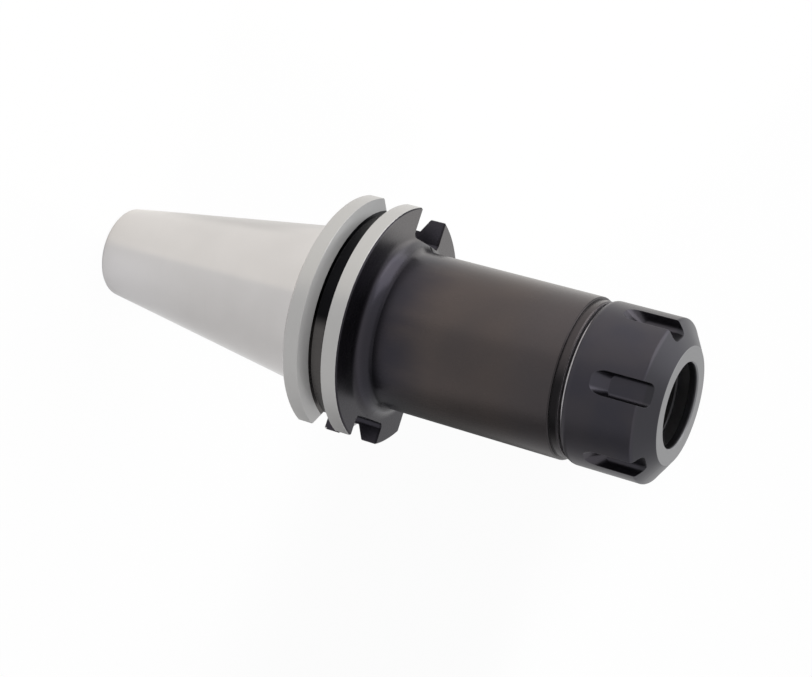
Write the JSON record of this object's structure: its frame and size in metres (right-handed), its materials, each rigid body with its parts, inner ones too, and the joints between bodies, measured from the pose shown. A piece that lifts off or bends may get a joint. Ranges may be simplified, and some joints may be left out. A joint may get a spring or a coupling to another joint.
{
  "type": "collet chuck holder",
  "caption": "Steel tool holder with a 7/24 taper shank, a grooved and keyed flange, a collet socket and a slotted clamping nut with an extraction ring.",
  "frame": {"origin": "centre of the taper's gauge circle, where its diameter is 44.45 mm", "axes": "+Z along the tool axis from the shank towards the nut; the deeper drive keyway faces -X and the shallower one +X; the part stands upright on the shank's small end face"},
  "size_m": [0.0614, 0.0636, 0.166],
  "materials": {
    "holder_steel": "black oxide, with the taper, the flange's lands and the groove's rear side ground bright",
    "nut_steel": "satin black oxide with a turned bare front face",
    "ring_steel": "bare turned steel"
  },
  "bodies": {
    "holder": {"holder_body": "holder_steel"},
    "ring": {"extraction_ring": "ring_steel"},
    "nut": {"clamping_nut": "nut_steel"}
  },
  "joints": [
    {"name": "nut_travel", "type": "slide", "parent": "holder", "child": "ring", "axis": [0, 0, 1], "range_m": [0, 0.0106]},
    {"name": "nut_turn", "type": "hinge", "parent": "ring", "child": "nut", "pos_m": [0, 0, 0.09], "axis": [0, 0, 1], "range_deg": [0, 2520]}
  ],
  "couplings": [
    {"joint": "nut_travel", "follows": "nut_turn", "m_per_rad": 0.00023873}
  ]
}
